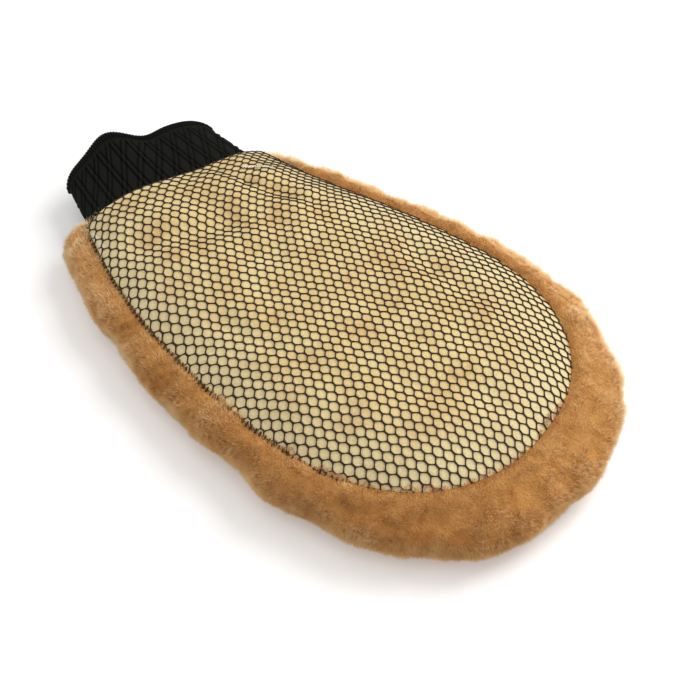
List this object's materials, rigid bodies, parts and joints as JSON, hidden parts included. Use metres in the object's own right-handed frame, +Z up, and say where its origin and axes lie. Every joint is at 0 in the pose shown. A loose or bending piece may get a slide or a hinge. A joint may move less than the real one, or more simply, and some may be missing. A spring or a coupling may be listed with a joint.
{
  "type": "wash mitt",
  "caption": "Wool wash mitt: dense pile on a hide sole, padded cloth back under a mesh net, hand pocket between them, and a folding ribbed knit cuff.",
  "frame": {"origin": "on the floor under the middle of the whole object's box", "axes": "+X from the cuff towards the toe, +Y to the side the cuff leans to, +Z up from the wool towards the netted back"},
  "size_m": [0.3208, 0.179, 0.0377],
  "materials": {
    "wool": "dense wool pile",
    "hide": "suede",
    "foam": "soft open-cell foam",
    "back_cloth": "brushed cloth",
    "net": "knotless mesh",
    "edge_thread": "overlocked thread",
    "tack_thread": "stitched thread",
    "knit": "rib knit",
    "elastic": "covered elastic"
  },
  "bodies": {
    "mitt": {"fleece": "wool", "hide": "hide", "back_foam": "foam", "back_panel": "back_cloth", "net_cover": "net", "perimeter_seam": "edge_thread", "mouth_seam": "knit", "bar_tack_left": "tack_thread", "bar_tack_right": "tack_thread"},
    "cuff": {"cuff_knit": "knit", "cuff_rim_binding": "knit", "cuff_elastic": "elastic", "cuff_side_seam": "knit"}
  },
  "joints": [
    {"name": "cuff_fold", "type": "hinge", "parent": "mitt", "child": "cuff", "pos_m": [-0.10601, 0.01264, 0.022], "axis": [0.225, 0.9744, 0], "range_deg": [-45, 45]}
  ]
}
